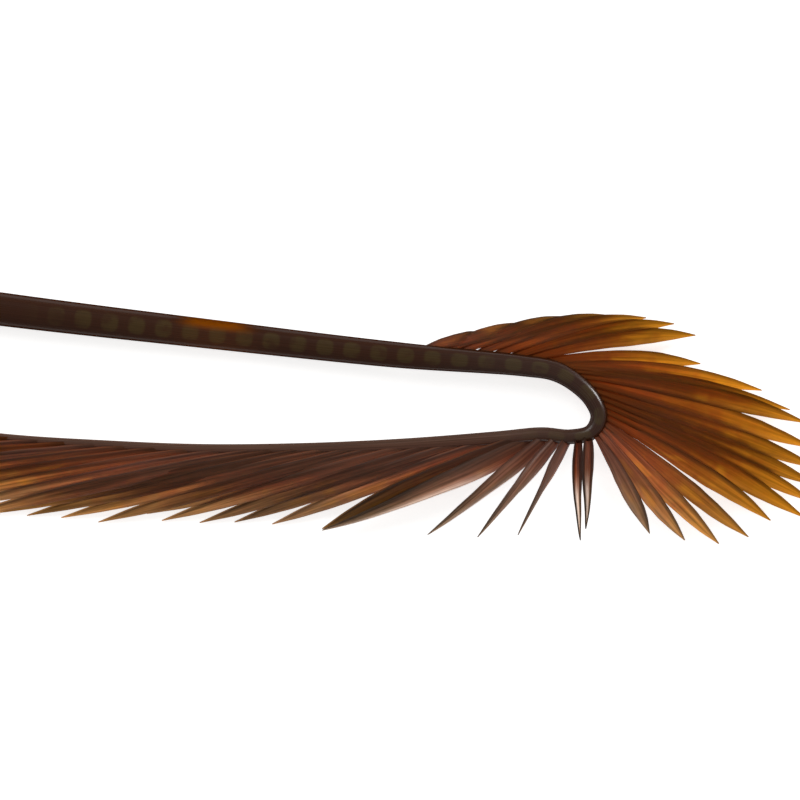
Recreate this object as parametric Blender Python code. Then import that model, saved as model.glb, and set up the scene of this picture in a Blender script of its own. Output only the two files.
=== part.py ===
"""A goose biot feather, dyed brown: one quill, bent into a hook, with stiff pointed barbs (biots) along its outer side.

The feather lies on a flat surface. Its bare shaft comes in from -X, hooks round at +X and runs back as a
thin rib, and the biots stand out from the outer side of the bend, so that they open like a fan at the hook
and lie close together like the teeth of a comb behind it. Lengths below are in millimetres.
"""

import math

import bmesh
import bpy
from mathutils import Vector

MM = 0.001

# The middle of the feather's outline in the plan below, which becomes the origin
PLAN_CENTRE = (-4.324, 0.054)

# The quill's middle line in plan, from the quill's blunt end to the feather's tip
ROUTE = [
    (-82.6, 18.9), (-60.7, 16.6), (-35.1, 13.0), (-6.6, 9.6), (22.0, 6.4), (39.6, 4.9), (44.2, 4.1), (47.3, 2.3),
    (49.5, 0.0), (50.4, -2.4), (49.3, -4.6), (46.3, -5.25), (42.3, -4.9), (36.2, -5.4), (22.0, -6.4), (7.7, -6.95),
    (-6.6, -7.0), (-20.9, -6.35), (-35.1, -5.3), (-56.0, -2.4), (-82.6, 2.2),
]
STEPS_PER_SPAN = 12  # samples of the smooth curve between two route points

# Half the quill's width at distances along it: blunt end, barrel, shaft, hook, rib and tip
QUILL_HALF_WIDTH = [
    (0.0, 1.25), (2.5, 1.9), (8.0, 2.35), (48.0, 2.4), (105.0, 1.85), (128.0, 1.45), (143.0, 1.05),
    (160.0, 0.92), (205.0, 0.68), (245.0, 0.4), (272.0, 0.14),
]
# Height of the quill's underside above the surface at distances along it
QUILL_LIFT = [(0.0, 0.0), (84.0, 0.0), (122.0, 2.2), (150.0, 2.8), (215.0, 2.2), (272.0, 0.0)]
QUILL_SPACING = 3.0  # between the sections of the straight stretches
HOOK_START, HOOK_END, HOOK_SPACING = 124.0, 147.0, 1.3

# The quill's section, for a half width of 1: its underside is flat, as the real rachis is
QUILL_SECTION = [
    (-0.5, -1.0), (0.5, -1.0), (0.88, -0.72), (1.0, 0.0), (0.84, 0.62), (0.42, 0.97),
    (-0.42, 0.97), (-0.84, 0.62), (-1.0, 0.0), (-0.88, -0.72),
]
# The section of a lock of biots, for a half width of 1: a thin lens
LOCK_SECTION = [(-1.0, 0.0), (-0.4, -0.17), (0.4, -0.17), (1.0, 0.0), (0.4, 0.2), (-0.4, 0.2)]
# The width of a lock from its root to its tip, as a share of its largest width
LOCK_TAPER = [
    (0.0, 0.42), (0.14, 0.55), (0.3, 0.76), (0.46, 0.94), (0.62, 1.0), (0.76, 0.84), (0.88, 0.52), (0.96, 0.2), (1.0, 0.04),
]
SPIKE_TAPER = [
    (0.0, 0.75), (0.15, 0.95), (0.32, 1.0), (0.46, 0.9), (0.6, 0.72), (0.75, 0.5), (0.88, 0.28), (0.96, 0.12), (1.0, 0.03),
]
COMB_TAPER = [
    (0.0, 0.72), (0.14, 0.86), (0.3, 0.96), (0.46, 1.0), (0.62, 1.0), (0.76, 0.84), (0.88, 0.52), (0.96, 0.2), (1.0, 0.04),
]
LOCK_ROOT_DEPTH = 0.45  # how far a lock starts inside the quill, as a share of the quill's half width

# Locks that open like a fan at the hook: distance of the root along the quill, tip (x, y in plan, z), half
# width, roll in degrees, and how far the middle bows to the left of the straight line, as a share of the length
FAN_LOCKS = [
    (108.0, (36.4, 9.2, 3.2), 0.95, 0, 0.05),
    (110.6, (41.6, 10.6, 3.0), 1.05, 0, 0.05),
    (113.2, (47.2, 11.6, 2.6), 1.15, 0, 0.05),
    (115.8, (52.4, 12.0, 2.2), 1.2, 0, 0.05),
    (118.2, (57.2, 11.8, 1.8), 1.2, 0, 0.05),
    (120.6, (61.2, 10.9, 1.4), 1.25, 0, 0.05),
    (122.8, (64.3, 9.2, 1.1), 1.3, 0, 0.05),
    (124.8, (65.0, 5.2, 0.9), 1.25, 0, 0.03),
    (126.6, (73.8, 1.4, 0.8), 1.3, 0, 0.03),
    (128.0, (77.8, -1.4, 0.8), 1.2, 0, 0.028),
    (129.4, (80.2, -3.3, 0.8), 1.45, 0, 0.03),
    (130.7, (81.2, -6.9, 0.9), 1.5, 0, 0.018),
    (132.2, (82.0, -9.9, 1.0), 1.45, 0, 0.012),
    (133.5, (82.0, -12.4, 1.2), 1.45, 0, 0.01),
    (134.7, (81.3, -14.7, 1.5), 1.5, 0, 0.015),
    (135.8, (79.8, -16.8, 2.2), 1.5, 0, 0.02),
    (136.7, (74.9, -17.2, 3.6), 1.4, 0, 0.02),
    (137.4, (71.6, -19.5, 6.6), 1.3, -6, 0.0),
    (138.0, (67.2, -20.4, 10.5), 1.3, -10, 0.0),
    (138.6, (62.2, -19.8, 14.5), 1.3, -10, 0.0),
    (139.3, (57.1, -18.8, 17.5), 1.15, -4, 0.02),
]
# Locks that stand up apart from each other on the hook's lower side
SPIKE_LOCKS = [
    (140.5, (48.1, -18.1, 19.0), 0.8, 8, 0.01),
    (141.8, (47.35, -19.7, 19.0), 0.72, -4, -0.024),
    (143.1, (38.6, -19.0, 18.0), 0.95, -50, 0.0),
    (144.5, (32.9, -19.3, 15.5), 1.15, -36, 0.0),
    (146.0, (25.9, -19.1, 10.5), 1.25, -22, 0.01),
    (147.1, (10.9, -18.6, 3.2), 1.6, -8, 0.02),
]
# The lock that leads the comb
LEAD_LOCK = (147.9, (10.9, -18.4, 2.5), 1.45, -4, -0.014)

# Locks of the comb behind the hook: tips in plan, the distance of the first root and what is between roots
COMB_TIPS = [
    (3.7, -17.75), (-1.7, -17.45), (-6.7, -17.55), (-12.1, -17.25), (-14.2, -16.3), (-21.2, -17.5), (-26.5, -16.85),
    (-31.4, -16.55), (-35.7, -16.15),
]
COMB_START, COMB_SPACING = 152.6, 3.7
COMB_HALF_WIDTH = 1.2
COMB_TIP_HEIGHT = 0.35
COMB_BOW = 0.005
# Locks from there to the tip: length, angle off the quill in degrees and half width, first and last
END_LOCKS = 15
END_LENGTH, END_ANGLE, END_HALF_WIDTH = (45.0, 14.0), (11.5, 7.0), (1.1, 0.5)

COLOUR = (0.115, 0.052, 0.022, 1.0)
ROUGHNESS = 0.42


def clear_scene():
    """Removes every object of the startup scene."""
    for obj in list(bpy.data.objects):
        bpy.data.objects.remove(obj)


def between(table, at):
    """The value that a table of (place, value) pairs gives at a place, on straight lines between the pairs."""
    if at <= table[0][0]:
        return table[0][1]
    for (a, low), (b, high) in zip(table, table[1:]):
        if at <= b:
            share = (at - a) / (b - a)
            return low + (high - low) * share
    return table[-1][1]


def from_plan(x, y, z=None):
    """A point of the plan, moved so that the origin is under the feather's middle."""
    flat = (x - PLAN_CENTRE[0], y - PLAN_CENTRE[1])
    return Vector(flat if z is None else flat + (z,))


def smooth_route(points):
    """Points of a centripetal Catmull-Rom curve through the given ones."""
    ends = [points[0] * 2 - points[1]] + points + [points[-1] * 2 - points[-2]]
    curve = []
    for p0, p1, p2, p3 in zip(ends, ends[1:], ends[2:], ends[3:]):
        knots = [0.0]
        for a, b in ((p0, p1), (p1, p2), (p2, p3)):
            knots.append(knots[-1] + math.sqrt((b - a).length))
        for step in range(STEPS_PER_SPAN):
            t = knots[1] + (knots[2] - knots[1]) * step / STEPS_PER_SPAN
            a1 = p0.lerp(p1, (t - knots[0]) / (knots[1] - knots[0]))
            a2 = p1.lerp(p2, (t - knots[1]) / (knots[2] - knots[1]))
            a3 = p2.lerp(p3, (t - knots[2]) / (knots[3] - knots[2]))
            b1 = a1.lerp(a2, (t - knots[0]) / (knots[2] - knots[0]))
            b2 = a2.lerp(a3, (t - knots[1]) / (knots[3] - knots[1]))
            curve.append(b1.lerp(b2, (t - knots[1]) / (knots[2] - knots[1])))
    return curve + [points[-1]]


class Quill:
    """The quill's middle line, read by distance along it."""

    def __init__(self):
        self.line = smooth_route([from_plan(x, y) for x, y in ROUTE])
        self.reach = [0.0]
        for a, b in zip(self.line, self.line[1:]):
            self.reach.append(self.reach[-1] + (b - a).length)
        self.length = self.reach[-1]

    def flat(self, distance):
        """The point from above, and the direction towards the tip."""
        distance = min(max(distance, 0.0), self.length)
        k = next(i for i, r in enumerate(self.reach[1:]) if distance <= r + 1e-9)
        share = (distance - self.reach[k]) / (self.reach[k + 1] - self.reach[k])
        heading = (self.line[k + 1] - self.line[k]).normalized()
        return self.line[k].lerp(self.line[k + 1], share), heading

    def centre(self, distance):
        """The middle of the section at that distance."""
        at = self.flat(distance)[0]
        half = between(QUILL_HALF_WIDTH, distance)
        return Vector((at.x, at.y, between(QUILL_LIFT, distance) + half))


def flat_profile(name, section):
    """A closed flat curve that serves as the section of a swept curve."""
    data = bpy.data.curves.new(name, "CURVE")
    data.dimensions = "2D"
    spline = data.splines.new("POLY")
    spline.points.add(len(section) - 1)
    for point, (x, y) in zip(spline.points, section):
        point.co = (x * MM, y * MM, 0.0, 1.0)
    spline.use_cyclic_u = True
    profile = bpy.data.objects.new(name, data)
    profile.hide_render = True
    profile.display_type = "WIRE"
    return profile


def swept(name, points, sizes, rolls, profile, collection):
    """A mesh object: the profile swept along the points, as large as sizes say, closed by caps."""
    data = bpy.data.curves.new(name, "CURVE")
    data.dimensions = "3D"
    data.twist_mode = "Z_UP"
    data.bevel_mode = "OBJECT"
    data.bevel_object = profile
    data.use_fill_caps = True
    spline = data.splines.new("POLY")
    spline.points.add(len(points) - 1)
    for point, at, size, roll in zip(spline.points, points, sizes, rolls):
        point.co = (at.x * MM, at.y * MM, at.z * MM, 1.0)
        point.radius = size
        point.tilt = roll
    guide = bpy.data.objects.new(name + "_line", data)
    collection.objects.link(guide)
    bpy.context.view_layer.update()
    graph = bpy.context.evaluated_depsgraph_get()
    mesh = bpy.data.meshes.new_from_object(guide.evaluated_get(graph))
    mesh.name = name
    bm = bmesh.new()
    bm.from_mesh(mesh)
    bmesh.ops.remove_doubles(bm, verts=bm.verts, dist=1e-6)
    bmesh.ops.recalc_face_normals(bm, faces=bm.faces)
    bm.to_mesh(mesh)
    bm.free()
    solid = bpy.data.objects.new(name, mesh)
    solid.matrix_world = guide.matrix_world
    collection.objects.link(solid)
    bpy.data.objects.remove(guide)
    return solid


def quill_stations(length):
    """Distances of the quill's sections: close together round the hook and at the blunt end."""
    stations = [0.0, 2.5, 5.0, 8.0]
    while stations[-1] < length - QUILL_SPACING:
        tight = HOOK_START < stations[-1] < HOOK_END
        stations.append(stations[-1] + (HOOK_SPACING if tight else QUILL_SPACING))
    return stations + [length]


def build_quill(quill, collection):
    """The barrel, shaft and rib as one swept solid with a flat underside."""
    stations = quill_stations(quill.length)
    points = [quill.centre(d) for d in stations]
    sizes = [between(QUILL_HALF_WIDTH, d) for d in stations]
    profile = flat_profile("quill_section", QUILL_SECTION)
    collection.objects.link(profile)
    return swept("feather", points, sizes, [0.0] * len(points), profile, collection)


def build_lock(quill, name, root_distance, tip, half_width, roll, bow, taper, profile, collection):
    """One lock: a tapered blade that leaves the quill on its outer side and bows on its way to the tip."""
    centre = quill.centre(root_distance)
    heading = quill.flat(root_distance)[1]
    outward = Vector((-heading.y, heading.x, 0.0))
    inset = between(QUILL_HALF_WIDTH, root_distance) * LOCK_ROOT_DEPTH
    root = centre + outward * inset
    reach = tip - root
    side = Vector((-reach.y, reach.x, 0.0))
    crest = Vector((0.0, 0.0, 0.04 * reach.length))
    points, sizes, rolls = [], [], []
    for share, width in taper:
        hump = 4.0 * share * (1.0 - share)
        points.append(root + reach * share + (side * bow + crest) * hump)
        sizes.append(half_width * width)
        rolls.append(math.radians(roll) * min(1.0, share * 2.0))
    return swept(name, points, sizes, rolls, profile, collection)


def comb_locks(quill):
    """Root distance, tip, half width, roll, bow and taper of each lock behind the hook."""
    distance, tip, half_width, roll, bow = LEAD_LOCK
    locks = [(distance, from_plan(*tip), half_width, roll, bow, COMB_TAPER)]
    for k, (x, y) in enumerate(COMB_TIPS):
        tip = from_plan(x, y, COMB_TIP_HEIGHT)
        locks.append((COMB_START + k * COMB_SPACING, tip, COMB_HALF_WIDTH, 0.0, -COMB_BOW, COMB_TAPER))
    first = COMB_START + len(COMB_TIPS) * COMB_SPACING
    for k in range(END_LOCKS):
        share = k / (END_LOCKS - 1)
        distance = first + (quill.length - 6.0 - first) * share
        length, angle, half_width = (a + (b - a) * share for a, b in (END_LENGTH, END_ANGLE, END_HALF_WIDTH))
        at, heading = quill.flat(distance)
        turn = math.radians(angle)
        outward = Vector((-heading.y, heading.x))
        tip = at + (heading * math.cos(turn) + outward * math.sin(turn)) * length
        tip = Vector((tip.x, tip.y, COMB_TIP_HEIGHT))
        locks.append((distance, tip, half_width, 0.0, -COMB_BOW, COMB_TAPER))
    return locks


def build_feather():
    """The quill with its locks joined to it, as one solid."""
    feather = bpy.data.collections.new("goose_biot_feather")
    cutters = bpy.data.collections.new("locks_to_join")
    for collection in (feather, cutters):
        bpy.context.scene.collection.children.link(collection)
    quill = Quill()
    body = build_quill(quill, feather)
    profile = flat_profile("lock_section", LOCK_SECTION)
    feather.objects.link(profile)
    locks = [(d, from_plan(*tip), w, roll, bow, LOCK_TAPER) for d, tip, w, roll, bow in FAN_LOCKS]
    locks += [(d, from_plan(*tip), w, roll, bow, SPIKE_TAPER) for d, tip, w, roll, bow in SPIKE_LOCKS]
    locks += comb_locks(quill)
    for k, (distance, tip, half_width, roll, bow, taper) in enumerate(locks):
        lock = build_lock(quill, f"lock_{k:02d}", distance, tip, half_width, roll, bow, taper, profile, cutters)
        lock.hide_render = True
        lock.display_type = "WIRE"
    join = body.modifiers.new("locks", "BOOLEAN")
    join.operation = "UNION"
    join.operand_type = "COLLECTION"
    join.collection = cutters
    join.solver = "EXACT"
    return body


def dyed_keratin():
    """Horn-like feather keratin, dyed brown."""
    material = bpy.data.materials.new("dyed_keratin")
    material.use_nodes = True
    shader = material.node_tree.nodes["Principled BSDF"]
    shader.inputs["Base Color"].default_value = COLOUR
    shader.inputs["Roughness"].default_value = ROUGHNESS
    shader.inputs["Metallic"].default_value = 0.0
    material.diffuse_color = COLOUR
    return material


def main():
    """Builds the feather and gives it its material."""
    clear_scene()
    build_feather().data.materials.append(dyed_keratin())


main()
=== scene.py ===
"""Dresses a goose biot feather: its hooked quill, its biots one by one, and the pale lit table under it.

The plan below is in millimetres as measured on the feather, and the meshes are in metres in the part's frame.
"""

import math
import random
from collections import namedtuple

import bmesh
import bpy
from mathutils import Matrix, Vector, noise


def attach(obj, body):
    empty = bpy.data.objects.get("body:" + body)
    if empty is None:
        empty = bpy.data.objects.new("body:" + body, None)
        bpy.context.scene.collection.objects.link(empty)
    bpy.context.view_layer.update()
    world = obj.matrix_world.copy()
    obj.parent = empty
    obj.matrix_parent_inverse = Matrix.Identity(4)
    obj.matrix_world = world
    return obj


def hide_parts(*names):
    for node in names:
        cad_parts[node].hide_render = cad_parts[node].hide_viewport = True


bl_info = {
    "name": "Goose Biot Feather",
    "version": (1, 0, 0),
    "blender": (4, 5, 0),
    "location": "3D View > Sidebar > Feather",
    "description": "Models a dyed goose biot feather lying on a pale lit table",
    "category": "Object",
}

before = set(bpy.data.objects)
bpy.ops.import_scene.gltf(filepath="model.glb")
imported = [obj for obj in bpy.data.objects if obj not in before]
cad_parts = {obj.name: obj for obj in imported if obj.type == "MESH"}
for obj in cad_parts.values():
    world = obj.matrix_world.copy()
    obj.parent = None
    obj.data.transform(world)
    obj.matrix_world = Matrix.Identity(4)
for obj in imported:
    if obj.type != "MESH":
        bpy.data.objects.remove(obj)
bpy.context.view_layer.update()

NODE = "feather"
BODY = "root"
MM = 0.001

# The plan

# The middle of the feather's outline in the plan, which is the part's origin
PLAN_CENTRE = (-4.324, 0.054)
# The point of the plan that the camera looks at, and the width that it sees
VIEW_CENTRE = (22.0, 0.0)
VIEW_WIDTH = 114.3

# The quill's middle line in plan, from the quill's blunt end to the feather's tip
ROUTE = [
    (-82.6, 18.9), (-60.7, 16.6), (-35.1, 13.0), (-6.6, 9.6), (22.0, 6.4), (39.6, 4.9), (44.2, 4.1),
    (47.3, 2.3), (49.5, 0.0), (50.4, -2.4), (49.3, -4.6), (46.3, -5.25), (42.3, -4.9), (36.2, -5.4),
    (22.0, -6.4), (7.7, -6.95), (-6.6, -7.0), (-20.9, -6.35), (-35.1, -5.3), (-56.0, -2.4), (-82.6, 2.2),
]
STEPS_PER_SPAN = 12

# Half the quill's width, and its underside's height, at distances along it
QUILL_HALF_WIDTH = [
    (0.0, 1.25), (2.5, 1.9), (8.0, 2.35), (48.0, 2.4), (105.0, 1.85), (128.0, 1.45), (143.0, 1.05),
    (160.0, 0.92), (205.0, 0.68), (245.0, 0.4), (272.0, 0.14),
]
QUILL_LIFT = [(0.0, 0.0), (84.0, 0.0), (122.0, 2.2), (150.0, 2.8), (215.0, 2.2), (272.0, 0.0)]
# The quill's rings at its blunt end, the step between the rest, and where it is finer, round the hook
END_RINGS = [0.0, 0.3, 0.8, 1.6, 2.5, 3.8, 5.2, 6.6, 8.0]
RING_STEP, FINE_RING_STEP = 1.2, 0.6
HOOK_RUN = (123.0, 148.0)
# The quill's section is a superellipse of this power, a little domed above and cut flat below
SECTION_POWER, SECTION_DOME = 2.6, 1.03

# One biot: distance of its root along the quill, tip (x, y in plan, z), half width, roll in degrees, the bow
# to the left as a share of the length, how amber it is, how far its edges bend down as a share of half its
# width (a gutter's bend up, below 0), how clear its thin side is, which also lays a painted sheen over its
# thick side and, in a gutter, a pale strip along the gutter's floor that is partly a painted highlight, and
# how light its dye is, where 0 to 1 is usual and None leaves it to chance
Biot = namedtuple("Biot", "root tip half_width roll bow amber boat clear shade", defaults=(0.22, 0.1, None))

# Biots that open like a fan at the hook
FAN_BIOTS = [
    Biot(108.0, (36.4, 9.2, 3.2), 0.95, 0, 0.05, 0.5),
    Biot(110.6, (41.6, 10.6, 3.0), 1.05, 0, 0.05, 0.6),
    Biot(113.2, (47.2, 11.6, 2.6), 1.15, 0, 0.05, 0.7),
    Biot(115.8, (52.4, 12.0, 2.2), 1.2, 0, 0.05, 0.8),
    Biot(118.2, (57.2, 11.8, 1.8), 1.2, 0, 0.05, 0.9),
    Biot(120.6, (61.2, 10.9, 1.4), 1.25, 0, 0.05, 1.0),
    Biot(122.8, (64.3, 9.2, 1.1), 1.3, 0, 0.05, 1.0),
    Biot(124.8, (65.0, 5.2, 0.9), 1.25, 0, 0.03, 1.0),
    Biot(126.6, (73.8, 1.4, 0.8), 1.3, 0, 0.03, 1.0),
    Biot(128.0, (77.8, -1.4, 0.8), 1.2, 0, 0.028, 1.0),
    Biot(129.4, (80.2, -3.3, 0.8), 1.45, 0, 0.03, 1.0),
    Biot(130.7, (81.2, -6.9, 0.9), 1.5, 0, 0.018, 1.0),
    Biot(132.2, (82.0, -9.9, 1.0), 1.45, 0, 0.012, 1.0),
    Biot(133.5, (82.0, -12.4, 1.2), 1.45, 0, 0.01, 1.0),
    Biot(134.7, (81.3, -14.7, 1.5), 1.5, 0, 0.015, 1.0),
    Biot(135.8, (79.8, -16.8, 2.2), 1.5, 0, 0.02, 1.0),
    Biot(136.7, (74.9, -17.2, 3.6), 1.4, 0, 0.02, 0.9),
    Biot(137.4, (71.6, -19.5, 6.6), 1.3, -6, 0.0, 0.7),
    Biot(138.0, (67.2, -20.4, 10.5), 1.3, -10, 0.0, 0.5),
    Biot(138.6, (62.2, -19.8, 14.5), 1.3, -10, 0.0, 0.3),
    Biot(139.3, (57.1, -18.8, 17.5), 1.15, -4, 0.02, 0.1, clear=0.35, shade=0.1),
]
# Biots that stand up apart from each other on the hook's lower side
SPIKE_BIOTS = [
    Biot(140.5, (48.1, -18.1, 19.0), 0.8, 8, 0.01, 0.0, -0.9, 0.9),
    Biot(141.8, (47.35, -19.7, 19.0), 0.72, -4, -0.024, 0.0, -0.9, 0.9),
    Biot(143.1, (38.6, -19.0, 18.0), 0.95, -50, 0.0, 0.0, clear=0.4, shade=0.2),
    Biot(144.5, (32.9, -19.3, 15.5), 1.15, -36, 0.0, 0.0, clear=0.65, shade=0.3),
    Biot(146.0, (25.9, -19.1, 10.5), 1.25, -22, 0.01, 0.05, clear=0.85, shade=0.3),
    Biot(147.1, (10.9, -18.6, 3.2), 1.6, -8, 0.02, 0.1, clear=0.9, shade=0.4),
]
# The biot that leads the comb
LEAD_BIOT = Biot(147.9, (10.9, -18.4, 2.5), 1.45, -4, -0.014, 0.3, shade=-0.6)

# Biots of the comb behind the hook: tips in plan, the distance of the first root and what is between roots
COMB_TIPS = [
    (3.7, -17.75), (-1.7, -17.45), (-6.7, -17.55), (-12.1, -17.25), (-14.2, -16.3), (-21.2, -17.5),
    (-26.5, -16.85), (-31.4, -16.55), (-35.7, -16.15),
]
COMB_START, COMB_SPACING = 152.6, 3.7
COMB_HALF_WIDTH = 1.15
COMB_TIP_HEIGHT = 0.35
COMB_BOW = 0.005
COMB_AMBER = (0.05, 0.45)
# Biots from there to the tip: length, angle off the quill in degrees and half width, first and last
END_BIOTS = 19
END_LENGTH, END_ANGLE, END_HALF_WIDTH = (45.0, 14.0), (11.5, 7.0), (1.1, 0.5)
END_JITTER = 0.05
END_AMBER = (0.1, 1.0)
# How far the last root is from the feather's tip
END_MARGIN = 6.0
# Seeds of chance: the comb's last biots, then the shades and ripples of each piece
END_SEED, FAN_SEED, SPIKE_SEED, COMB_SEED = 7, 11, 12, 13

# The width of a biot from its root to its tip, as a share of its largest width
BIOT_TAPER = [
    (0.0, 0.42), (0.14, 0.55), (0.3, 0.76), (0.46, 0.94), (0.62, 1.0), (0.76, 0.84), (0.88, 0.52),
    (0.96, 0.2), (1.0, 0.04),
]
SPIKE_TAPER = [
    (0.0, 0.75), (0.15, 0.95), (0.32, 1.0), (0.46, 0.9), (0.6, 0.72), (0.75, 0.5), (0.88, 0.28),
    (0.96, 0.12), (1.0, 0.03),
]
COMB_TAPER = [
    (0.0, 0.6), (0.14, 0.84), (0.3, 0.96), (0.46, 1.0), (0.62, 1.0), (0.76, 0.84), (0.88, 0.52),
    (0.96, 0.2), (1.0, 0.04),
]
# Where roots sit on the quill: out from its middle and up from it, as shares of its half width
SIDE_SEAT = (0.45, 0.0)
TOP_SEAT = (0.3, 0.3)
# How far the middle of a biot rises above the line from its root to its tip, as a share of its length
CREST = 0.04
# How much a biot's width ripples as a share of it, and how far the biot sways sideways, in millimetres
RIPPLE, SWAY = 0.05, 0.10
# The low ridge along a biot's thick edge: its height as a share of the half width, its place and its width
RIDGE_HEIGHT, RIDGE_PLACE, RIDGE_WIDTH = 0.08, 0.8, 0.1
# Where a biot is thick: at its left (1) or right (-1) edge, which has a bright rim, a painted highlight, and
# then a dark band. The start skips the rim and the scale narrows the band: both count as start + scale *
# millimetres from the edge
Edge = namedtuple("Edge", "side start scale")
FAN_EDGE = Edge(-1, 0.3, 0.5)
SPIKE_EDGE = Edge(1, 0.24, 0.6)
COMB_EDGE = Edge(1, 0.0, 1.0)
# The distance between the middles of the shaft's pith cells
CELL_SPACING = 3.86
# Stretches of the quill: where the pith cells fade in, where the see-through streak starts and ends, where
# the gloss of the bend rises and falls, and where the shaft turns into the rib
CELLS_FROM = (50.0, 62.0)
STREAK_FROM, STREAK_TO = (71.0, 76.0), (81.0, 87.0)
GLOSS_FROM, GLOSS_TO = (105.0, 125.0), (145.0, 160.0)
RIB_FROM = (137.0, 158.0)
# How many threads show across a biot and across the quill, in the striation's own scale
BIOT_FINENESS, QUILL_FINENESS = 6.5, 14.0

# The stage, in metres: the lamps' places and sizes, the table's half size and how far it is under the feather
KEY_PLACE, KEY_SIZE = (-0.45, 0.55, 0.8), 0.6
GLINT_PLACE, GLINT_SIZE = (0.66, 0.38, 0.27), 0.2
TABLE_HALF_SIZE, TABLE_DROP = 1.5, 0.00005
ROOM_COLOUR, ROOM_STRENGTH = (1.0, 0.98, 0.95, 1.0), 0.34
# The height at which VIEW_WIDTH fills the picture, the camera's sensor in millimetres and how far it sees
FOCUS_HEIGHT = 0.003
SENSOR_WIDTH = 36.0
CLIP_END = 20.0


# Settings that a user would change

class QuillSettings(bpy.types.PropertyGroup):
    """Form and colours of the quill."""

    sides: bpy.props.IntProperty(name="Sides", description="Points round the quill", default=28, min=8)
    shaft_colour: bpy.props.FloatVectorProperty(
        name="Shaft", description="Colour of the bare shaft",
        subtype="COLOR", size=3, default=(0.040, 0.0125, 0.005))
    pith_colour: bpy.props.FloatVectorProperty(
        name="Pith", description="Colour of the pith cells that show through the shaft",
        subtype="COLOR", size=3, default=(0.062, 0.038, 0.011))
    rib_colour: bpy.props.FloatVectorProperty(
        name="Rib", description="Colour of the thin rib that carries the comb",
        subtype="COLOR", size=3, default=(0.115, 0.058, 0.038))
    rib_root_colour: bpy.props.FloatVectorProperty(
        name="Rib at the biots", description="Colour of the rib on the side where the biots leave it",
        subtype="COLOR", size=3, default=(0.12, 0.052, 0.033))
    through_colour: bpy.props.FloatVectorProperty(
        name="Through", description="Colour of light that passes through the quill's wall",
        subtype="COLOR", size=3, default=(0.45, 0.22, 0.06))
    streak_colour: bpy.props.FloatVectorProperty(
        name="Streak", description="Colour of light that passes through the shaft where its wall is thinnest",
        subtype="COLOR", size=3, default=(1.0, 0.5, 0.06))


class BiotSettings(bpy.types.PropertyGroup):
    """Form and colours of the biots."""

    length_cuts: bpy.props.IntProperty(
        name="Length cuts", description="Faces along a biot", default=30, min=8)
    width_cuts: bpy.props.IntProperty(name="Width cuts", description="Faces across a biot", default=8, min=4)
    thickness: bpy.props.FloatProperty(
        name="Thickness", description="Thickness of a biot's wall",
        default=0.00014, unit="LENGTH", precision=5)
    shingle: bpy.props.FloatProperty(
        name="Shingle", description="Turn of a biot about its length, so that they overlap like shingles",
        default=math.radians(-11.0), unit="ROTATION")
    root_turn: bpy.props.FloatProperty(
        name="Root turn", description="Further turn of a biot at its root, where it stands on edge",
        default=math.radians(-16.0), unit="ROTATION")
    root_colour: bpy.props.FloatVectorProperty(
        name="Root", description="Colour of a biot at its root",
        subtype="COLOR", size=3, default=(0.19, 0.09, 0.056))
    amber_root_colour: bpy.props.FloatVectorProperty(
        name="Amber root", description="Colour of the least dyed biots at their roots",
        subtype="COLOR", size=3, default=(0.16, 0.052, 0.014))
    tip_colour: bpy.props.FloatVectorProperty(
        name="Tip", description="Colour of a biot at its tip",
        subtype="COLOR", size=3, default=(0.12, 0.072, 0.042))
    amber_colour: bpy.props.FloatVectorProperty(
        name="Amber", description="Colour of the tips of the thin, least dyed biots",
        subtype="COLOR", size=3, default=(0.17, 0.076, 0.004))
    root_glow: bpy.props.FloatVectorProperty(
        name="Root glow", description="Colour of light that passes through a biot near its root",
        subtype="COLOR", size=3, default=(0.55, 0.2, 0.09))
    amber_root_glow: bpy.props.FloatVectorProperty(
        name="Amber root glow",
        description="Colour of light that passes through the least dyed biots near their roots",
        subtype="COLOR", size=3, default=(0.62, 0.2, 0.03))
    window_glow: bpy.props.FloatVectorProperty(
        name="Window glow", description="Colour of light that passes through the thin spots of a biot",
        subtype="COLOR", size=3, default=(0.86, 0.52, 0.09))
    tip_glow: bpy.props.FloatVectorProperty(
        name="Tip glow", description="Colour of light that passes through a biot near its tip",
        subtype="COLOR", size=3, default=(0.58, 0.41, 0.27))
    amber_glow: bpy.props.FloatVectorProperty(
        name="Amber glow", description="Colour of light that passes through the tips of the least dyed biots",
        subtype="COLOR", size=3, default=(0.74, 0.45, 0.08))
    # The clear colours paint a biot's clear thin side, and also the painted sheen over its thick side and the
    # painted highlight along a gutter's floor
    clear_and_sheen_colour: bpy.props.FloatVectorProperty(
        name="Clear", description="Colour of the clear, thinnest side of a biot",
        subtype="COLOR", size=3, default=(0.42, 0.31, 0.24))
    clear_and_sheen_glow: bpy.props.FloatVectorProperty(
        name="Clear glow",
        description="Colour of light that passes through the clear, thinnest side of a biot",
        subtype="COLOR", size=3, default=(0.93, 0.84, 0.78))


class StageSettings(bpy.types.PropertyGroup):
    """The table, the lights and the camera."""

    glow: bpy.props.FloatProperty(
        name="Glow", description="Light that the table gives off", default=0.7, min=0.0)
    camera_height: bpy.props.FloatProperty(
        name="Camera height", description="Height of the camera above the table", default=1.0, unit="LENGTH")
    key_power: bpy.props.FloatProperty(
        name="Key", description="Power of the large soft light", default=3.2, unit="POWER")
    glint_power: bpy.props.FloatProperty(
        name="Glint", description="Power of the small low light whose glint runs along the hook",
        default=3.0, unit="POWER")
    floor_colour: bpy.props.FloatVectorProperty(
        name="Floor", description="Colour of the table",
        subtype="COLOR", size=3, default=(0.93, 0.93, 0.93))


# Curves of the plan

def between(table, at):
    """The value at a place in a table of (place, value) pairs, on straight lines between the pairs."""
    if at <= table[0][0]:
        return table[0][1]
    for (a, low), (b, high) in zip(table, table[1:]):
        if at <= b:
            return low + (high - low) * (at - a) / (b - a)
    return table[-1][1]


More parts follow.
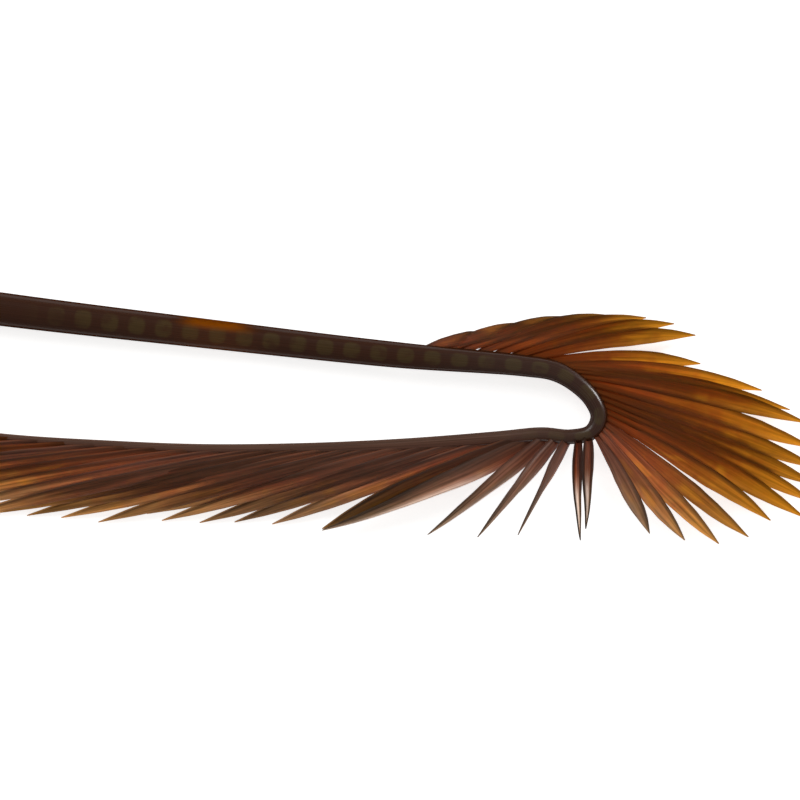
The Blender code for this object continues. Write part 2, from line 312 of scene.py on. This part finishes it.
def mix(low, high, share):
    """The value a share of the way from low to high."""
    return low + (high - low) * share


def eased(low, high, at):
    """0 at low and before it, 1 at high and past it, and a smooth step between."""
    share = min(max((at - low) / (high - low), 0.0), 1.0)
    return share * share * (3.0 - 2.0 * share)


def from_plan(x, y, z=None):
    """A point of the plan, moved so that the origin is under the feather's middle, in millimetres."""
    flat = (x - PLAN_CENTRE[0], y - PLAN_CENTRE[1])
    return Vector(flat if z is None else flat + (z,))


def smooth_route(points):
    """Points of a centripetal Catmull-Rom curve through the given ones."""
    ends = [points[0] * 2 - points[1]] + points + [points[-1] * 2 - points[-2]]
    curve = []
    for p0, p1, p2, p3 in zip(ends, ends[1:], ends[2:], ends[3:]):
        knots = [0.0]
        for a, b in ((p0, p1), (p1, p2), (p2, p3)):
            knots.append(knots[-1] + math.sqrt((b - a).length))
        for step in range(STEPS_PER_SPAN):
            t = knots[1] + (knots[2] - knots[1]) * step / STEPS_PER_SPAN
            a1 = p0.lerp(p1, (t - knots[0]) / (knots[1] - knots[0]))
            a2 = p1.lerp(p2, (t - knots[1]) / (knots[2] - knots[1]))
            a3 = p2.lerp(p3, (t - knots[2]) / (knots[3] - knots[2]))
            b1 = a1.lerp(a2, (t - knots[0]) / (knots[2] - knots[0]))
            b2 = a2.lerp(a3, (t - knots[1]) / (knots[3] - knots[1]))
            curve.append(b1.lerp(b2, (t - knots[1]) / (knots[2] - knots[1])))
    return curve + [points[-1]]


class QuillLine:
    """The quill's middle line, read by distance along it."""

    def __init__(self):
        self.line = smooth_route([from_plan(x, y) for x, y in ROUTE])
        self.reach = [0.0]
        for a, b in zip(self.line, self.line[1:]):
            self.reach.append(self.reach[-1] + (b - a).length)
        self.length = self.reach[-1]

    def point(self, distance):
        """The point from above."""
        distance = min(max(distance, 0.0), self.length)
        k = next(i for i, r in enumerate(self.reach[1:]) if distance <= r + 1e-9)
        share = (distance - self.reach[k]) / (self.reach[k + 1] - self.reach[k])
        return self.line[k].lerp(self.line[k + 1], share)

    def heading(self, distance):
        """The direction towards the tip, from above, evened over a short stretch."""
        step = 0.4
        return (self.point(distance + step) - self.point(distance - step)).normalized()

    def centre(self, distance):
        """The middle of the section at that distance."""
        at = self.point(distance)
        return Vector((at.x, at.y, between(QUILL_LIFT, distance) + between(QUILL_HALF_WIDTH, distance)))


QUILL = QuillLine()


def comb_biots():
    """The biots behind the hook, up to the feather's tip."""
    chance = random.Random(END_SEED)
    biots = [LEAD_BIOT]
    for k, (x, y) in enumerate(COMB_TIPS):
        amber = mix(*COMB_AMBER, k / len(COMB_TIPS))
        tip = (x, y, COMB_TIP_HEIGHT)
        biots.append(Biot(COMB_START + k * COMB_SPACING, tip, COMB_HALF_WIDTH, 0.0, -COMB_BOW, amber))
    first = COMB_START + len(COMB_TIPS) * COMB_SPACING
    for k in range(END_BIOTS):
        share = k / (END_BIOTS - 1)
        distance = first + (QUILL.length - END_MARGIN - first) * share
        length, angle, half_width = (mix(*pair, share) for pair in (END_LENGTH, END_ANGLE, END_HALF_WIDTH))
        length *= 1.0 - chance.uniform(0.0, END_JITTER) * (0 < k < END_BIOTS - 1)
        at, heading = QUILL.point(distance) + Vector(PLAN_CENTRE), QUILL.heading(distance)
        turn = math.radians(angle)
        outward = Vector((-heading.y, heading.x))
        tip = at + (heading * math.cos(turn) + outward * math.sin(turn)) * length
        amber = chance.uniform(*END_AMBER)
        biots.append(Biot(distance, (tip.x, tip.y, COMB_TIP_HEIGHT), half_width, 0.0, -COMB_BOW, amber))
    return biots


# Meshes

def new_piece(name, bm, material):
    """An object at the origin that rides on the feather, stands for its solid and takes its finish."""
    mesh = bpy.data.meshes.new(name)
    bm.to_mesh(mesh)
    bm.free()
    mesh.shade_smooth()
    mesh.materials.append(material)
    piece = bpy.data.objects.new(name, mesh)
    bpy.context.scene.collection.objects.link(piece)
    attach(piece, BODY)
    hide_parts(NODE)
    return piece


def quill_section(turn, half):
    """A point of the quill's section, at a turn from its top: rounded, and flat below."""
    x = math.sin(turn)
    z = math.cos(turn)
    squared = (abs(x) ** SECTION_POWER + abs(z) ** SECTION_POWER) ** (1 / SECTION_POWER)
    x, z = x / squared, z / squared
    z = max(z * SECTION_DOME, -1.0)
    return x * half, z * half


def quill_stations():
    """Distances of the quill's rings, closer together round the hook and at its blunt end."""
    stations = list(END_RINGS)
    while stations[-1] < QUILL.length - RING_STEP:
        tight = HOOK_RUN[0] < stations[-1] < HOOK_RUN[1]
        stations.append(stations[-1] + (FINE_RING_STEP if tight else RING_STEP))
    return stations + [QUILL.length]


def quill_mesh(settings):
    """The quill: a ring of points drawn out along its middle line, and closed at both ends."""
    bm = bmesh.new()
    run = bm.verts.layers.float.new("run")
    upward = bm.verts.layers.float.new("upward")
    lean = bm.verts.layers.float.new("lean")
    ring = bmesh.ops.create_circle(bm, segments=settings.sides, radius=1.0)["verts"]
    turns = [2 * math.pi * k / settings.sides for k in range(settings.sides)]
    rings = []
    for distance in quill_stations():
        if rings:
            edges = [e for e in bm.edges if e.verts[0] in rings[-1] and e.verts[1] in rings[-1]]
            grown = bmesh.ops.extrude_edge_only(bm, edges=edges)["geom"]
            fresh = {v for v in grown if isinstance(v, bmesh.types.BMVert)}
            ring = [next(e.other_vert(v) for e in v.link_edges if e.other_vert(v) in fresh)
                    for v in rings[-1]]
        centre = QUILL.centre(distance)
        heading = QUILL.heading(distance)
        across = Vector((heading.y, -heading.x, 0.0))
        half = between(QUILL_HALF_WIDTH, distance)
        for vert, turn in zip(ring, turns):
            x, z = quill_section(turn, half)
            vert.co = (centre + across * x + Vector((0.0, 0.0, z))) * MM
            vert[run] = distance
            vert[upward] = abs(turn / (2 * math.pi) - 0.5)
            vert[lean] = math.sin(turn)
        rings.append(ring)
    for end in (rings[0], rings[-1]):
        bmesh.ops.contextual_create(bm, geom=end)
    bmesh.ops.recalc_face_normals(bm, faces=bm.faces)
    return bm


def clear_and_sheen_mask(biot, t, thick):
    """How clear a biot is at a place, with painted light in the same mask: most along its thin side, with a
    painted sheen a third as strong over its thick side, or, in a gutter, a pale strip along the gutter's
    floor that is partly its clear membrane and partly a painted highlight.
    """
    if biot.boat < 0.0:
        floor = eased(0.2, 0.65, 1.0 - abs(2.0 * thick - 1.0))
        return biot.clear * floor * eased(0.3, 0.6, t) * eased(1.0, 0.85, t)
    return biot.clear * mix(1.0, 0.3, eased(0.0, 0.45, thick)) * eased(0.1, 0.4, t)


def tone(biot, thick):
    """How bright a biot is at a place across it, for a gutter's dark edges."""
    if biot.boat < 0.0:
        return mix(0.35, 0.95, eased(0.1, 0.6, 1.0 - abs(2.0 * thick - 1.0)))
    return 1.0


def add_blade(bm, biot, taper, seat, edge, settings, shade, wobble):
    """Adds one biot: a grid bent into a tapered blade with a boat-shaped section."""
    layers = bm.verts.layers.float
    centre = QUILL.centre(biot.root)
    heading = QUILL.heading(biot.root)
    outward = Vector((-heading.y, heading.x, 0.0))
    root = centre + (outward * seat[0] + Vector((0.0, 0.0, seat[1]))) * between(QUILL_HALF_WIDTH, biot.root)
    tip = from_plan(*biot.tip)
    reach = tip - root
    side = Vector((-reach.y, reach.x, 0.0))
    crest = Vector((0.0, 0.0, CREST * reach.length))

    def axis(t):
        hump = 4.0 * t * (1.0 - t)
        return root + reach * t + (side * biot.bow + crest) * hump

    grid = bmesh.ops.create_grid(
        bm, x_segments=settings.length_cuts, y_segments=settings.width_cuts, size=1.0)
    for vert in grid["verts"]:
        t = (vert.co.x + 1.0) / 2
        v = vert.co.y
        tangent = (axis(min(t + 0.01, 1.0)) - axis(max(t - 0.01, 0.0))).normalized()
        flat = Vector((tangent.y, -tangent.x, 0.0)).normalized()
        roll = math.radians(biot.roll) * min(1.0, t * 2.0)
        roll += settings.shingle * (1.0 - 0.7 * eased(0.7, 1.0, t))
        roll += settings.root_turn * (1.0 - eased(0.0, 0.3, t))
        turn = Matrix.Rotation(roll, 3, tangent)
        width_way = turn @ flat
        up = width_way.cross(tangent)
        half = biot.half_width * between(taper, t)
        half *= 1.0 + RIPPLE * noise.noise(Vector((t * 9.0, wobble, v)))
        sag = -biot.boat * half * v * v
        thick = (1.0 + edge.side * v) / 2
        ridge = RIDGE_HEIGHT * half * math.exp(-((thick - RIDGE_PLACE) / RIDGE_WIDTH) ** 2)
        sway = SWAY * noise.noise(Vector((t * 3.0, wobble, 7.0))) * eased(0.0, 0.3, t)
        vert.co = (axis(t) + width_way * (v * half + sway) + up * (sag + ridge)) * MM
        vert[layers["along"]] = t
        vert[layers["across"]] = thick
        vert[layers["edge"]] = edge.start + edge.scale * (1.0 - thick) * 2 * half
        vert[layers["tone"]] = tone(biot, thick)
        vert[layers["clear"]] = clear_and_sheen_mask(biot, t, thick)
        vert[layers["shade"]] = shade
        vert[layers["amber"]] = biot.amber
        vert[layers["reach"]] = reach.length


def biots_piece(name, biots, taper, seat, edge, settings, material, seed):
    """One piece of many biots, each a thin closed blade."""
    chance = random.Random(seed)
    bm = bmesh.new()
    for layer in ("along", "across", "edge", "tone", "shade", "amber", "reach", "clear"):
        bm.verts.layers.float.new(layer)
    for biot in biots:
        shade = chance.random()
        wobble = chance.uniform(0.0, 50.0)
        add_blade(bm, biot, taper, seat, edge, settings, shade if biot.shade is None else biot.shade, wobble)
    bmesh.ops.recalc_face_normals(bm, faces=bm.faces)
    piece = new_piece(name, bm, material)
    wall = piece.modifiers.new("wall", "SOLIDIFY")
    wall.thickness = settings.thickness
    wall.offset = 0.0
    return piece


# Materials

class Tree:
    """Short calls for the nodes of a material or of a group."""

    def __init__(self, nodes, links):
        self.nodes = nodes
        self.links = links

    def put(self, kind, **values):
        """A node with its properties set."""
        node = self.nodes.new(kind)
        for name, value in values.items():
            setattr(node, name, value)
        return node

    def feed(self, socket, value):
        """Links a socket to another, or sets it to a value."""
        if isinstance(value, bpy.types.NodeSocket):
            self.links.new(value, socket)
        elif isinstance(value, (tuple, list)) and len(value) == 3 and socket.type == "RGBA":
            socket.default_value = (*value, 1.0)
        else:
            socket.default_value = value

    def math(self, operation, a, b=0.5, c=None):
        """A Math node's result."""
        node = self.put("ShaderNodeMath", operation=operation)
        for socket, value in zip(node.inputs, (a, b, c)):
            if value is not None:
                self.feed(socket, value)
        return node.outputs[0]

    def mix(self, share, a, b, blend="MIX"):
        """A mix of two colours."""
        node = self.put("ShaderNodeMix", data_type="RGBA", blend_type=blend)
        self.feed(node.inputs["Factor"], share)
        self.feed(node.inputs[6], a)
        self.feed(node.inputs[7], b)
        return node.outputs[2]

    def step(self, value, low, high, to_low=0.0, to_high=1.0):
        """A smooth step from one value to another."""
        node = self.put("ShaderNodeMapRange", interpolation_type="SMOOTHSTEP")
        self.feed(node.inputs["Value"], value)
        for name, number in (("From Min", low), ("From Max", high), ("To Min", to_low), ("To Max", to_high)):
            node.inputs[name].default_value = number
        return node.outputs["Result"]

    def vector(self, x, y, z):
        """A vector of three numbers."""
        node = self.put("ShaderNodeCombineXYZ")
        for socket, value in zip(node.inputs, (x, y, z)):
            self.feed(socket, value)
        return node.outputs[0]

    def noise(self, vector, scale=1.0, detail=3.0, roughness=0.55):
        """A noise texture's value."""
        node = self.put("ShaderNodeTexNoise")
        self.feed(node.inputs["Vector"], vector)
        node.inputs["Scale"].default_value = scale
        node.inputs["Detail"].default_value = detail
        node.inputs["Roughness"].default_value = roughness
        return node.outputs["Fac"]

    def attribute(self, name):
        """A value that is stored on the mesh."""
        return self.put("ShaderNodeAttribute", attribute_name=name).outputs["Fac"]


def new_group(name, inputs, outputs):
    """An empty shader group with named number sockets, and its tree."""
    group = bpy.data.node_groups.new(name, "ShaderNodeTree")
    for label, default in inputs:
        socket = group.interface.new_socket(label, in_out="INPUT", socket_type="NodeSocketFloat")
        socket.default_value = default
    for label in outputs:
        group.interface.new_socket(label, in_out="OUTPUT", socket_type="NodeSocketFloat")
    tree = Tree(group.nodes, group.links)
    return group, tree, tree.put("NodeGroupInput"), tree.put("NodeGroupOutput")


def striation_group():
    """Fine threads that run the length of a keratin surface, and broad cloudy patches over them."""
    group, tree, given, result = new_group(
        "keratin_striation",
        [("Along", 0.0), ("Across", 0.0), ("Seed", 0.0), ("Fineness", 24.0)],
        ["Threads", "Clouds"])
    seed = tree.math("MULTIPLY", given.outputs["Seed"], 61.0)
    fine = tree.math("MULTIPLY", given.outputs["Across"], given.outputs["Fineness"])
    slow = tree.math("MULTIPLY", given.outputs["Along"], 0.6)
    threads = tree.noise(tree.vector(slow, fine, seed), 1.0, 3.0, 0.6)
    cloud_place = tree.vector(tree.math("MULTIPLY", given.outputs["Along"], 5.0),
                              tree.math("MULTIPLY", given.outputs["Across"], 1.4), seed)
    clouds = tree.noise(cloud_place, 1.0, 2.0, 0.5)
    tree.feed(result.inputs["Threads"], threads)
    tree.feed(result.inputs["Clouds"], clouds)
    return group


def new_material(name):
    """A material with no nodes yet but its output, and its tree."""
    material = bpy.data.materials.new(name)
    material.use_nodes = True
    material.node_tree.nodes.clear()
    tree = Tree(material.node_tree.nodes, material.node_tree.links)
    return material, tree, tree.put("ShaderNodeOutputMaterial")


def lit_through(tree, result, colour, through, share, roughness, gloss, normal):
    """Ends a material: a satin surface that also lets through a share of the light from behind."""
    surface = tree.put("ShaderNodeBsdfPrincipled")
    tree.feed(surface.inputs["Base Color"], colour)
    tree.feed(surface.inputs["Roughness"], roughness)
    tree.feed(surface.inputs["Normal"], normal)
    tree.feed(surface.inputs["Specular IOR Level"], gloss)
    behind = tree.put("ShaderNodeBsdfTranslucent")
    tree.feed(behind.inputs["Color"], through)
    both = tree.put("ShaderNodeMixShader")
    tree.feed(both.inputs[0], share)
    tree.feed(both.inputs[1], surface.outputs[0])
    tree.feed(both.inputs[2], behind.outputs[0])
    tree.feed(result.inputs["Surface"], both.outputs[0])


def bump(tree, height, strength, distance):
    """A Bump node's normal."""
    node = tree.put("ShaderNodeBump")
    node.inputs["Strength"].default_value = strength
    node.inputs["Distance"].default_value = distance
    tree.feed(node.inputs["Height"], height)
    return node.outputs["Normal"]


def place_striation(tree, group, along, across, seed, fineness):
    """Places the striation group in a material with its own values."""
    node = tree.put("ShaderNodeGroup", node_tree=group)
    for label, value in (("Along", along), ("Across", across), ("Seed", seed), ("Fineness", fineness)):
        tree.feed(node.inputs[label], value)
    return node.outputs["Threads"], node.outputs["Clouds"]


def windows(tree, along, across, shade, reach):
    """Spots in the thin half of a biot's blade, where more light comes through."""
    place = tree.vector(tree.math("MULTIPLY", tree.math("MULTIPLY", along, reach), 0.22),
                        tree.math("MULTIPLY", across, 1.1), tree.math("MULTIPLY", shade, 37.0))
    spots = tree.step(tree.noise(place, 1.0, 1.0), 0.52, 0.66)
    middle = tree.math("MULTIPLY", tree.step(along, 0.15, 0.35), tree.step(along, 0.75, 0.9, 1.0, 0.0))
    low = tree.math("MULTIPLY", tree.step(across, 0.08, 0.2), tree.step(across, 0.45, 0.65, 1.0, 0.0))
    return tree.math("MULTIPLY", tree.math("MULTIPLY", spots, middle), tree.math("MULTIPLY", low, 0.8))


def biot_material(settings, striation):
    """Dyed keratin of a biot: dark at the root, tan or amber at the tip, with threads along it, a painted
    highlight on its rim, and a painted sheen and highlight laid on with its clear mask.
    """
    material, tree, result = new_material("biot_keratin")
    along, across, edge, shade = (tree.attribute(name) for name in ("along", "across", "edge", "shade"))
    amber, reach, clear = (tree.attribute(name) for name in ("amber", "reach", "clear"))
    run = tree.math("MULTIPLY", tree.math("MULTIPLY", along, reach), 0.12)
    threads, clouds = place_striation(tree, striation, run, across, shade, BIOT_FINENESS)
    window = tree.math("MULTIPLY", windows(tree, along, across, shade, reach),
                       tree.math("MULTIPLY_ADD", amber, 0.8, 0.3))
    spread = tree.math("ADD", along, tree.math("MULTIPLY", tree.math("SUBTRACT", clouds, 0.5), 0.45))
    towards_tip = tree.step(spread, 0.10, 0.95)
    tip_now = tree.mix(amber, tuple(settings.tip_colour), tuple(settings.amber_colour))
    root_now = tree.mix(amber, tuple(settings.root_colour), tuple(settings.amber_root_colour))
    colour = tree.mix(towards_tip, root_now, tip_now)
    glow_now = tree.mix(amber, tuple(settings.tip_glow), tuple(settings.amber_glow))
    glow_root = tree.mix(amber, tuple(settings.root_glow), tuple(settings.amber_root_glow))
    through = tree.mix(towards_tip, glow_root, glow_now)
    through = tree.mix(window, through, tuple(settings.window_glow))
    contrast = tree.math("MULTIPLY_ADD", amber, -1.0, 2.2)
    value = tree.math("MULTIPLY_ADD", tree.math("SUBTRACT", threads, 0.5), contrast, 1.0)
    variety = tree.math("MULTIPLY_ADD", amber, -0.22, 0.45)
    dye = tree.math("MULTIPLY_ADD", tree.math("SUBTRACT", shade, 0.62), variety, 1.0)
    value = tree.math("MULTIPLY", value, dye)
    band = tree.math("MULTIPLY", tree.step(edge, 0.28, 0.8, 1.0, 0.0), tree.step(across, 0.35, 0.75))
    band = tree.math("MULTIPLY", band, tree.step(along, 0.3, 0.75, 0.6, 1.0))
    value = tree.math("MULTIPLY", value, tree.math("MULTIPLY_ADD", band, -0.55, 1.1))
    # A bright line along the thick edge, faded in near the root: a painted highlight
    painted_rim_highlight = tree.math("MULTIPLY", tree.step(edge, 0.1, 0.24, 0.7, 0.0), tree.step(along, 0.06, 0.2))
    value = tree.math("ADD", value, painted_rim_highlight)
    value = tree.math("ADD", value, tree.math("MULTIPLY", amber, tree.step(along, 0.7, 1.0, 0.0, 0.32)))
    value = tree.math("MULTIPLY", value, tree.attribute("tone"))
    # The clear mask lightens and pales the colours: clear membrane on the thin side, a painted sheen over the
    # thick side and a painted highlight along a gutter's floor
    value = tree.math("MAXIMUM", value, clear)
    colour = tree.mix(clear, colour, tuple(settings.clear_and_sheen_colour))
    through = tree.mix(clear, through, tuple(settings.clear_and_sheen_glow))
    shades = tree.vector(value, value, value)
    colour = tree.mix(1.0, colour, shades, "MULTIPLY")
    through = tree.mix(1.0, through, shades, "MULTIPLY")
    roughness = tree.math("MULTIPLY_ADD", threads, 0.2, 0.28)
    normal = bump(tree, threads, 0.35, 0.00012)
    gloss = tree.math("MULTIPLY_ADD", amber, -0.4, 0.4)
    share = tree.math("MULTIPLY_ADD", clear, 0.28, tree.step(spread, 0.0, 0.7, 0.5, 0.68))
    lit_through(tree, result, colour, through, share, roughness, gloss, normal)
    return material


def quill_material(settings, striation):
    """The quill: olive brown with paler pith cells, a see-through amber streak and painted shade on its sides
    and underside, and redder on the rib.
    """
    material, tree, result = new_material("quill_keratin")
    run, upward, lean = (tree.attribute(name) for name in ("run", "upward", "lean"))
    slow_run = tree.math("MULTIPLY", run, 0.1)
    threads, clouds = place_striation(tree, striation, slow_run, lean, 0.3, QUILL_FINENESS)
    cell = tree.math("FRACT", tree.math("DIVIDE", run, CELL_SPACING))
    long_way = tree.math("MULTIPLY", tree.math("SUBTRACT", cell, 0.5), 3.2)
    wide_way = tree.math("MULTIPLY", tree.math("SUBTRACT", 0.5, upward), 11.0)
    rounded = tree.math("ADD", tree.math("POWER", tree.math("ABSOLUTE", long_way), 3.0),
                        tree.math("POWER", wide_way, 3.0))
    cells = tree.step(rounded, 0.45, 1.5, 1.0, 0.0)
    cells = tree.math("MULTIPLY", cells, tree.step(clouds, 0.3, 0.55, 0.35, 1.0))
    cells = tree.math("MULTIPLY", cells, tree.step(run, *CELLS_FROM))
    colour = tree.mix(tree.math("MULTIPLY", cells, 0.8),
                      tuple(settings.shaft_colour), tuple(settings.pith_colour))
    rib = tree.mix(tree.step(lean, -0.6, 0.7), tuple(settings.rib_root_colour), tuple(settings.rib_colour))
    colour = tree.mix(tree.step(run, *RIB_FROM), colour, rib)
    contrast = tree.step(run, *RIB_FROM, 0.8, 2.6)
    value = tree.math("MULTIPLY_ADD", tree.math("SUBTRACT", threads, 0.5), contrast, 1.0)
    # Darker on the quill's sides and underside than on its top: painted shade
    value = tree.math("MULTIPLY", value, tree.step(upward, 0.22, 0.36, 0.8, 1.0))
    colour = tree.mix(1.0, colour, tree.vector(value, value, value), "MULTIPLY")
    roughness = tree.math("MULTIPLY_ADD", threads, 0.1, 0.22)
    normal = bump(tree, threads, 0.07, 0.0001)
    bend = tree.math("MULTIPLY", tree.step(run, *GLOSS_FROM, 0.45, 1.0), tree.step(run, *GLOSS_TO, 1.0, 0.4))
    gloss = tree.math("MULTIPLY", tree.step(upward, 0.33, 0.38, 0.0, 0.5), bend)
    long_streak = tree.math("MULTIPLY", tree.step(run, *STREAK_FROM), tree.step(run, *STREAK_TO, 1.0, 0.0))
    streak = tree.math("MULTIPLY", tree.step(lean, -0.7, -0.1, 1.0, 0.0), tree.step(upward, 0.1, 0.24))
    streak = tree.math("MULTIPLY", streak, long_streak)
    through = tree.mix(streak, tuple(settings.through_colour), tuple(settings.streak_colour))
    share = tree.math("MULTIPLY_ADD", streak, 0.85, 0.12)
    lit_through(tree, result, colour, through, share, roughness, gloss, normal)
    return material


def floor_material(settings):
    """A pale table that gives off light of its own, like a light table."""
    material, tree, result = new_material("pale_table")
    surface = tree.put("ShaderNodeBsdfPrincipled")
    tree.feed(surface.inputs["Base Color"], tuple(settings.floor_colour))
    tree.feed(surface.inputs["Roughness"], 0.6)
    tree.feed(surface.inputs["Emission Color"], (1.0, 1.0, 1.0))
    tree.feed(surface.inputs["Emission Strength"], settings.glow)
    tree.feed(result.inputs["Surface"], surface.outputs[0])
    return material


def shared_group():
    """The striation group, made once."""
    return bpy.data.node_groups.get("keratin_striation") or striation_group()


def shared_biot_material(settings):
    """The biots' material, made once."""
    return bpy.data.materials.get("biot_keratin") or biot_material(settings, shared_group())


# Operators

class FEATHER_OT_quill(bpy.types.Operator):
    """Model the quill from its blunt end, round the hook, to the feather's tip"""

    bl_idname = "feather.quill"
    bl_label = "Quill"

    def execute(self, context):
        settings = context.scene.feather_quill
        new_piece("quill", quill_mesh(settings), quill_material(settings, shared_group()))
        return {"FINISHED"}


class FEATHER_OT_fan_biots(bpy.types.Operator):
    """Model the biots that open like a fan at the hook"""

    bl_idname = "feather.fan_biots"
    bl_label = "Fan biots"

    def execute(self, context):
        settings = context.scene.feather_biots
        material = shared_biot_material(settings)
        biots_piece("fan_biots", FAN_BIOTS, BIOT_TAPER, SIDE_SEAT, FAN_EDGE, settings, material, FAN_SEED)
        return {"FINISHED"}


class FEATHER_OT_spike_biots(bpy.types.Operator):
    """Model the separate biots that stand up on the hook's lower side"""

    bl_idname = "feather.spike_biots"
    bl_label = "Spike biots"

    def execute(self, context):
        settings = context.scene.feather_biots
        material = shared_biot_material(settings)
        biots_piece(
            "spike_biots", SPIKE_BIOTS, SPIKE_TAPER, SIDE_SEAT, SPIKE_EDGE, settings, material, SPIKE_SEED)
        return {"FINISHED"}


class FEATHER_OT_comb_biots(bpy.types.Operator):
    """Model the biots that lie close together behind the hook, like the teeth of a comb"""

    bl_idname = "feather.comb_biots"
    bl_label = "Comb biots"

    def execute(self, context):
        settings = context.scene.feather_biots
        material = shared_biot_material(settings)
        biots_piece(
            "comb_biots", comb_biots(), COMB_TAPER, TOP_SEAT, COMB_EDGE, settings, material, COMB_SEED)
        return {"FINISHED"}


class FEATHER_OT_stage(bpy.types.Operator):
    """Set the pale lit table, the soft lights and the camera that looks straight down"""

    bl_idname = "feather.stage"
    bl_label = "Stage"

    def execute(self, context):
        settings = context.scene.feather_stage
        bm = bmesh.new()
        bmesh.ops.create_grid(bm, x_segments=1, y_segments=1, size=TABLE_HALF_SIZE)
        bmesh.ops.translate(bm, verts=bm.verts, vec=(0.0, 0.0, -TABLE_DROP))
        mesh = bpy.data.meshes.new("table")
        bm.to_mesh(mesh)
        bm.free()
        mesh.materials.append(floor_material(settings))
        table = bpy.data.objects.new("table", mesh)
        context.scene.collection.objects.link(table)

        target = from_plan(*VIEW_CENTRE, 0.0) * MM
        for name, place, size, power in (
                ("key", KEY_PLACE, KEY_SIZE, settings.key_power),
                ("glint", GLINT_PLACE, GLINT_SIZE, settings.glint_power)):
            lamp = bpy.data.lights.new(name, "AREA")
            lamp.shape = "DISK"
            lamp.size = size
            lamp.energy = power
            light = bpy.data.objects.new(name, lamp)
            light.location = place
            light.rotation_euler = (target - Vector(place)).to_track_quat("-Z", "Y").to_euler()
            context.scene.collection.objects.link(light)

        world = bpy.data.worlds.new("soft_room")
        world.use_nodes = True
        background = world.node_tree.nodes["Background"]
        background.inputs["Color"].default_value = ROOM_COLOUR
        background.inputs["Strength"].default_value = ROOM_STRENGTH
        context.scene.world = world
        context.scene.view_settings.view_transform = "Standard"

        lens = bpy.data.cameras.new("camera")
        lens.sensor_width = SENSOR_WIDTH
        seen_height = settings.camera_height - FOCUS_HEIGHT
        lens.lens = lens.sensor_width * seen_height / (VIEW_WIDTH * MM)
        lens.clip_end = CLIP_END
        camera = bpy.data.objects.new("camera", lens)
        camera.location = (target.x, target.y, settings.camera_height)
        context.scene.collection.objects.link(camera)
        context.scene.camera = camera
        return {"FINISHED"}


class FEATHER_PT_panel(bpy.types.Panel):
    """Lists the settings and the steps that build the feather."""

    bl_label = "Feather"
    bl_space_type = "VIEW_3D"
    bl_region_type = "UI"
    bl_category = "Feather"

    def draw(self, context):
        for group, steps in PANEL_ROWS:
            box = self.layout.box()
            settings = getattr(context.scene, group)
            for name in settings.__annotations__:
                box.prop(settings, name)
            for step in steps:
                box.operator(step)


PANEL_ROWS = [
    ("feather_quill", ["feather.quill"]),
    ("feather_biots", ["feather.fan_biots", "feather.spike_biots", "feather.comb_biots"]),
    ("feather_stage", ["feather.stage"]),
]
SETTINGS = {"feather_quill": QuillSettings, "feather_biots": BiotSettings, "feather_stage": StageSettings}
CLASSES = [
    QuillSettings, BiotSettings, StageSettings, FEATHER_OT_quill, FEATHER_OT_fan_biots,
    FEATHER_OT_spike_biots, FEATHER_OT_comb_biots, FEATHER_OT_stage, FEATHER_PT_panel,
]


def register():
    """Registers the classes and puts the settings on the scene."""
    for cls in CLASSES:
        bpy.utils.register_class(cls)
    for name, group in SETTINGS.items():
        setattr(bpy.types.Scene, name, bpy.props.PointerProperty(type=group))


def unregister():
    """Takes the settings off the scene and unregisters the classes."""
    for name in SETTINGS:
        delattr(bpy.types.Scene, name)
    for cls in reversed(CLASSES):
        bpy.utils.unregister_class(cls)


def main():
    """Builds everything in order."""
    register()
    bpy.ops.feather.quill()
    bpy.ops.feather.fan_biots()
    bpy.ops.feather.spike_biots()
    bpy.ops.feather.comb_biots()
    bpy.ops.feather.stage()


if __name__ == "__main__":
    main()
